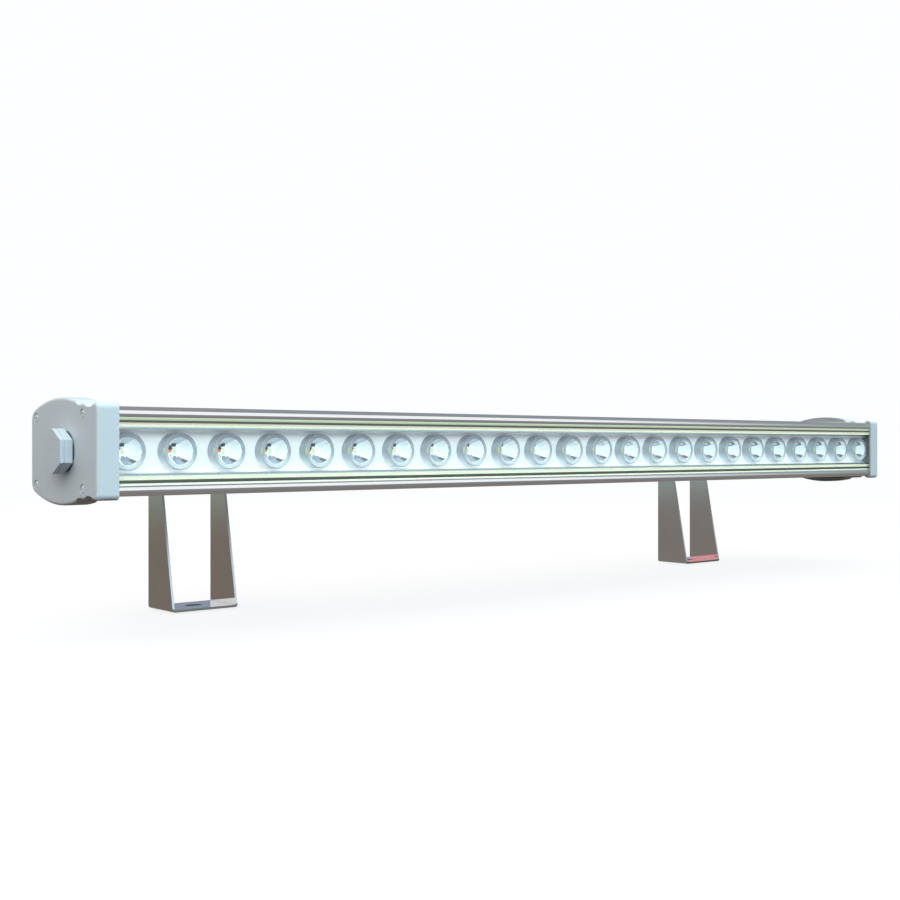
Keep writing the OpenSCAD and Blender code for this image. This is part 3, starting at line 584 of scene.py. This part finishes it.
# %% Lens holders
LENS_COUNT = 24
GLINT_HALF = 2.4 * MM
GLINT_SOFT = 0.6 * MM
GLINT_ACROSS = (-12.6 * MM, -13.1 * MM)
GLINT_DEEP = (1.6 * MM, 1.0 * MM)
holders_low, holders_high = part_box("lens_holders")
holder_r = (holders_high.z - holders_low.z) / 2
lens_pitch = (holders_high.x - holders_low.x - 2 * holder_r) / (LENS_COUNT - 1)
first_x = holders_low.x + holder_r
rim_y = holders_low.y
board_y = holders_high.y


def across_lens(finish):
    """How far right of its own lens's middle a point lies."""
    start = first_x - lens_pitch / 2
    return finish.sum("FLOORED_MODULO", finish.axis("X") - start, lens_pitch) - lens_pitch / 2


def grey_holder():
    finish = Finish("grey_holder", {"Roughness": 0.3, "Emission Strength": 0.12})
    cloud = finish.noise(120, 3)
    up = above_axis(finish)
    # painted light below and painted shade above, where the lip shades the ring
    tone = finish.mix(finish.ramp(up, -0.9 * holder_r, 0), (0.80, 0.92, 0.98, 1), (0.34, 0.42, 0.49, 1))
    tone = finish.mix(finish.ramp(up, 3 * MM, holder_r), tone, (0.16, 0.18, 0.21, 1))
    tone = finish.mix(cloud * 0.25, tone, (0.60, 0.68, 0.74, 1))
    # painted reflection of the emitter's yellow green on each ring's left edge
    phosphor_glint = finish.band(up, -GLINT_HALF, GLINT_HALF, GLINT_SOFT)
    phosphor_glint = phosphor_glint * finish.ramp(across_lens(finish), *GLINT_ACROSS)
    phosphor_glint = phosphor_glint * finish.ramp(finish.axis("Y"), rim_y + GLINT_DEEP[0], rim_y + GLINT_DEEP[1])
    tone = finish.mix(phosphor_glint, tone, (0.58, 0.72, 0.38, 1))
    # painted glow in the holders' own tones
    finish.set({"Base Color": tone, "Emission Color": tone, "Normal": finish.bump(cloud, 0.05 * MM, 0.3)})
    return finish.material


print(LENS_COUNT, "lenses,", round(lens_pitch / MM, 2), "mm apart")

# %% [markdown]
# Each emitter is a small block of phosphor with a dome on its front, yellow green there and orange
# where the block meets the board. A little glow of its own keeps its colour alive at the bottom of
# the funnel.


# %% Phosphor
def phosphor():
    finish = Finish("phosphor", {"Roughness": 0.25, "Emission Strength": 0.35})
    cloud = finish.noise(900, 2)
    low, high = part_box("light_emitters")
    depth = finish.ramp(finish.axis("Y"), low.y + 0.7 * (high.y - low.y), high.y)
    tone = finish.mix(depth, (0.62, 0.74, 0.40, 1), (0.90, 0.30, 0.06, 1))
    tone = finish.mix(cloud * 0.3, tone, (0.85, 0.85, 0.55, 1))
    finish.set({"Base Color": tone, "Emission Color": tone})
    return finish.material


# %% [markdown]
# Every CAD node carries the name of its slot, and so one table gives each slot its finish. A few
# nodes share a slot with others but look different, and a second table names those. A row for a
# moulded finish holds the dark and the light tone, the roughness, the scale of the patches, the
# depth of the grain and, for the coated screws, a stronger shine. A row for steel holds the tint,
# the roughness, and the marks' scale, stretch and depth.

# %% Finishes for the CAD nodes
EVEN = (1, 1, 1)
MOULDED = {
    "black_rubber": ((0.012, 0.012, 0.013, 1), (0.035, 0.036, 0.038, 1), 0.6, 60, 0.04 * MM),
    "plated_entry": ((0.52, 0.63, 0.70, 1), (0.60, 0.71, 0.77, 1), 0.30, 50, 0.02 * MM),
    "white_board": ((0.78, 0.80, 0.78, 1), (0.84, 0.86, 0.84, 1), 0.4, 80, 0.02 * MM),
    "white_block": ((0.80, 0.80, 0.76, 1), (0.86, 0.86, 0.82, 1), 0.4, 70, 0.03 * MM),
    "black_nylon": ((0.02, 0.02, 0.02, 1), (0.05, 0.05, 0.05, 1), 0.4, 90, 0.03 * MM),
    "window_seal": ((0.075, 0.082, 0.070, 1), (0.11, 0.12, 0.10, 1), 0.5, 60, 0.02 * MM),
    "plug_seal": ((0.04, 0.045, 0.055, 1), (0.09, 0.10, 0.12, 1), 0.6, 60, 0.03 * MM),
    # painted light: the screws are paler than the caps' coat, for heads that sit in shade
    "coated_screw": ((0.68, 0.78, 0.84, 1), (0.80, 0.88, 0.93, 1), 0.2, 400, 0.02 * MM, 1.0),
}
STEELS = {
    "screw_steel": ((0.86, 0.86, 0.85, 1), 0.22, 700, EVEN, 0.03 * MM),
    "driver_sheet": ((0.75, 0.76, 0.77, 1), 0.35, 300, (0.05, 1, 1), 0.03 * MM),
    "hinge_steel": ((0.70, 0.71, 0.72, 1), 0.28, 500, EVEN, 0.04 * MM),
    "bolt_steel": ((0.80, 0.80, 0.79, 1), 0.25, 600, EVEN, 0.04 * MM),
}
FINISHES = {
    "anodised_bar": anodised_bar(),
    "cast_cap": cast_cap(),
    "clear_glass": clear_glass(),
    "cream_bedding": cream_bedding(),
    "white_panel": white_panel(),
    "phosphor": phosphor(),
    "grey_holder": grey_holder(),
    "polished_steel": polished_strip(),
}
for name, values in MOULDED.items():
    FINISHES[name] = moulded(name, *values)
for name, values in STEELS.items():
    FINISHES[name] = steel(name, *values)
NODE_FINISHES = {
    "glass_seals": FINISHES["window_seal"],
    "blanking_plug_seal": FINISHES["plug_seal"],
    "near_cap_screws": FINISHES["coated_screw"],
    "far_cap_screws": FINISHES["coated_screw"],
}
print(len(FINISHES), "finishes")

# %% [markdown]
# The optics are clear mouldings in the real lamp, and what shows in each is a faceted funnel with
# the emitter at its foot. So each lens is made as two pieces: the funnel, and a clear front over it.
# The funnel starts as a circle with a few corners at the mouth, which is extruded inwards and
# narrowed row by row, so that every row of facets has its own slope. The last row stays level: it is
# the funnel's flat foot, with a narrow upright hole through which the emitter shows.


# %% Funnel of a lens
def settle(piece, name):
    """Puts a piece's place and turn into its mesh."""
    piece.name = name
    bpy.ops.object.select_all(action="DESELECT")
    piece.select_set(True)
    bpy.context.view_layer.objects.active = piece
    bpy.ops.object.transform_apply(location=True, rotation=True, scale=True)


MOUTH_R = 10.4 * MM
MOUTH_SET = 0.8 * MM
FOOT_OFF_BOARD = 0.95 * MM
CUP_SIDES = 12
CUP_WALL = 0.2 * MM
CUP_ROWS = ((0.28, 0.92), (0.32, 0.86), (0.40, 0.77))
HOLE_SHARES = (0.20, 1, 0.38)
HOLE_SHIFT = -0.3 * MM
mouth_y = rim_y + MOUTH_SET
cup_deep = board_y - FOOT_OFF_BOARD - mouth_y

bpy.ops.object.select_all(action="DESELECT")
bpy.ops.mesh.primitive_circle_add(
    vertices=CUP_SIDES, radius=MOUTH_R, location=(first_x, mouth_y, AXIS_Z), rotation=UPRIGHT
)
cup = bpy.context.object
bpy.ops.object.mode_set(mode="EDIT")
bpy.ops.mesh.select_all(action="SELECT")
for share_deep, narrow in CUP_ROWS:
    bpy.ops.mesh.extrude_region_move(TRANSFORM_OT_translate={"value": (0, share_deep * cup_deep, 0)})
    bpy.ops.transform.resize(value=(narrow, narrow, narrow))
bpy.ops.mesh.extrude_region_move(TRANSFORM_OT_translate={"value": (0, 0, 0)})
bpy.ops.transform.resize(value=HOLE_SHARES)
bpy.ops.transform.translate(value=(HOLE_SHIFT, 0, 0))
bpy.ops.mesh.select_all(action="SELECT")
bpy.ops.mesh.normals_make_consistent(inside=True)
bpy.ops.object.mode_set(mode="OBJECT")
wall = cup.modifiers.new("wall", "SOLIDIFY")
wall.thickness = CUP_WALL
bpy.ops.object.modifier_apply(modifier="wall")
settle(cup, "lens_cup_01")
print("cup", len(cup.data.polygons), "faces, deep", round(cup_deep / MM, 2), "mm")


# %% [markdown]
# The clear front is a thin disc with a soft dome. A cylinder is inset twice on its front and each
# ring is drawn forward a little less than the last.


# %% Front of a lens
def only_select(test):
    """In edit mode, selects the faces whose normal passes a test."""
    bpy.ops.mesh.select_all(action="DESELECT")
    bpy.ops.object.mode_set(mode="OBJECT")
    for face in bpy.context.object.data.polygons:
        face.select = test(face.normal)
    bpy.ops.object.mode_set(mode="EDIT")


FRONT_T = 0.7 * MM
FRONT_SIDES = 48
FRONT_RINGS = ((2.5 * MM, 0.12 * MM), (3.0 * MM, 0.07 * MM))
bpy.ops.object.select_all(action="DESELECT")
bpy.ops.mesh.primitive_cylinder_add(
    vertices=FRONT_SIDES, radius=MOUTH_R, depth=FRONT_T,
    location=(first_x, mouth_y - FRONT_T / 2, AXIS_Z), rotation=UPRIGHT,
)
front = bpy.context.object
bpy.ops.object.mode_set(mode="EDIT")
only_select(lambda normal: normal.z > 0.9)
for inset, rise in FRONT_RINGS:
    bpy.ops.mesh.inset(thickness=inset)
    bpy.ops.transform.translate(value=(0, -rise, 0))
bpy.ops.object.mode_set(mode="OBJECT")
settle(front, "lens_front_01")
bpy.ops.object.shade_smooth_by_angle(angle=math.radians(30))
print("front", len(front.data.polygons), "faces")

# %% [markdown]
# Seen from the front, a lens is a small collage of painted reflections, highlights and shade: pale
# blue where the facets would mirror the studio, a grey fan of painted shade below, two near black
# reflections, white highlights and an orange reflection of the emitter beside it. The funnel also
# has a faint painted glow. These are drawn on the funnel in polar terms, as bands of angle and of
# distance from the lens's middle, so they follow its facets. Farther along the bar one looks in more
# from the side, and painted dark reflections show on the right. A row of the table holds a mark's two
# angles in degrees, its two distances in millimetres, its tint, the softness of its angles, and
# whether only the far lenses have it.

# %% Finishes of funnel and front
# painted reflections, highlights and shade, drawn on every funnel
CUP_PAINTED_MARKS = (
    (62, 104, 5.5, 12, (0.48, 0.59, 0.66, 1), 8, False),
    (46, 54, 3.5, 12, (0.96, 0.98, 1.0, 1), 3, False),
    (-104, -46, 3.6, 9.8, (0.27, 0.32, 0.36, 1), 3, False),
    (-60, -47, 7.6, 9.6, (0.12, 0.125, 0.13, 1), 5, False),
    (-150, -112, 2.4, 8.2, (0.96, 0.97, 0.97, 1), 3, False),
    (-142, -128, 3.6, 4.8, (0.36, 0.38, 0.38, 1), 3, False),
    (-122, -114, 4.6, 5.6, (0.30, 0.31, 0.31, 1), 3, False),
    (74, 120, 3.5, 5.8, (0.02, 0.018, 0.016, 1), 3, False),
    (125, 164, 2.5, 5.7, (0.03, 0.02, 0.018, 1), 3, False),
    (-64, 64, 0.8, 4.6, (0.98, 0.98, 0.98, 1), 6, False),
    (38, 78, 5.6, 8.8, (0.14, 0.14, 0.15, 1), 4, True),
    (50, 64, 6.6, 7.8, (0.80, 0.86, 0.88, 1), 4, True),
    (-54, -42, 7.8, 9.0, (0.22, 0.15, 0.15, 1), 4, True),
)
MARK_SOFT = 0.25
FAR_LENSES = (-0.15, 0.3)
ORANGE_REFLECTION_ANGLES = (163, 166)
ORANGE_REFLECTION_REACH = (2.2, 4.8)


def faceted_cup():
    finish = Finish("faceted_cup", {"Roughness": 0.12, "Specular IOR Level": 0.4, "Emission Strength": 0.32})
    across = across_lens(finish)
    up = above_axis(finish)
    turn = finish.sum("ARCTAN2", up, across) * (180 / math.pi)
    out = finish.sum("POWER", across * across + up * up, 0.5) * (1 / MM)
    cloud = finish.noise(330, 3)
    far_lens = finish.ramp(finish.axis("X"), *FAR_LENSES)
    # pale blue painted reflection of the studio
    tone = finish.mix(finish.ramp(cloud, 0.35, 0.65), (0.74, 0.86, 0.92, 1), (0.90, 0.96, 0.98, 1))
    for low, high, near, far, tint, soft, far_only in CUP_PAINTED_MARKS:
        where = finish.band(turn, low, high, soft) * finish.band(out, near, far, MARK_SOFT)
        if far_only:
            where = where * far_lens
        tone = finish.mix(where, tone, tint)
    # painted orange reflection of the emitter
    orange_reflection = finish.ramp(abs(turn), *ORANGE_REFLECTION_ANGLES) * finish.band(out, *ORANGE_REFLECTION_REACH, MARK_SOFT)
    tone = finish.mix(orange_reflection, tone, (0.85, 0.20, 0.04, 1))
    # painted glow
    finish.set({"Base Color": tone, "Emission Color": tone, "Normal": finish.bump(cloud, 0.08 * MM, 0.2)})
    return finish.material


def clear_lens():
    finish = Finish("clear_lens", {"IOR": 1.28, "Transmission Weight": 1.0})
    flow = finish.noise(180, 2)
    finish.set({
        "Base Color": finish.mix(flow, (0.93, 0.97, 1.0, 1), (1, 1, 1, 1)),
        "Roughness": finish.rough(flow, 0.0, 0.03),
    })
    finish.clear_to_light((0.95, 0.98, 1.0, 1))
    return finish.material


FINISHES["clear_lens"] = clear_lens()
cup.data.materials.append(faceted_cup())
front.data.materials.append(FINISHES["clear_lens"])
print(len(CUP_PAINTED_MARKS) + 1, "marks in a funnel")

# %% [markdown]
# The lens is modelled once. Each of the other lamps gets a copy with a mesh of its own, moved along
# the bar inside the mesh, so that every object still sits at the origin.


# %% Row of lenses
def copy_along(piece, name, shift):
    twin = piece.copy()
    twin.data = piece.data.copy()
    twin.name = name
    twin.data.transform(Matrix.Translation(shift))
    scene.collection.objects.link(twin)
    return twin


optics = [cup, front]
for number in range(2, LENS_COUNT + 1):
    shift = Vector(((number - 1) * lens_pitch, 0, 0))
    optics.append(copy_along(cup, f"lens_cup_{number:02d}", shift))
    optics.append(copy_along(front, f"lens_front_{number:02d}", shift))
for piece in optics:
    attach(piece, "lamp")
    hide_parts("lenses")
print(len(optics), "pieces of optics")

# %% [markdown]
# Last, each CAD node gets its finish: its own if it has one, and else its slot's. The nodes keep
# their meshes, and only the material in the slot changes.

# %% Hand the finishes to the CAD nodes
for name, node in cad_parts.items():
    for holder in node.material_slots:
        base = holder.material.name.split(".")[0]
        holder.material = NODE_FINISHES.get(name, FINISHES[base])
print(len(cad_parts), "CAD nodes dressed")
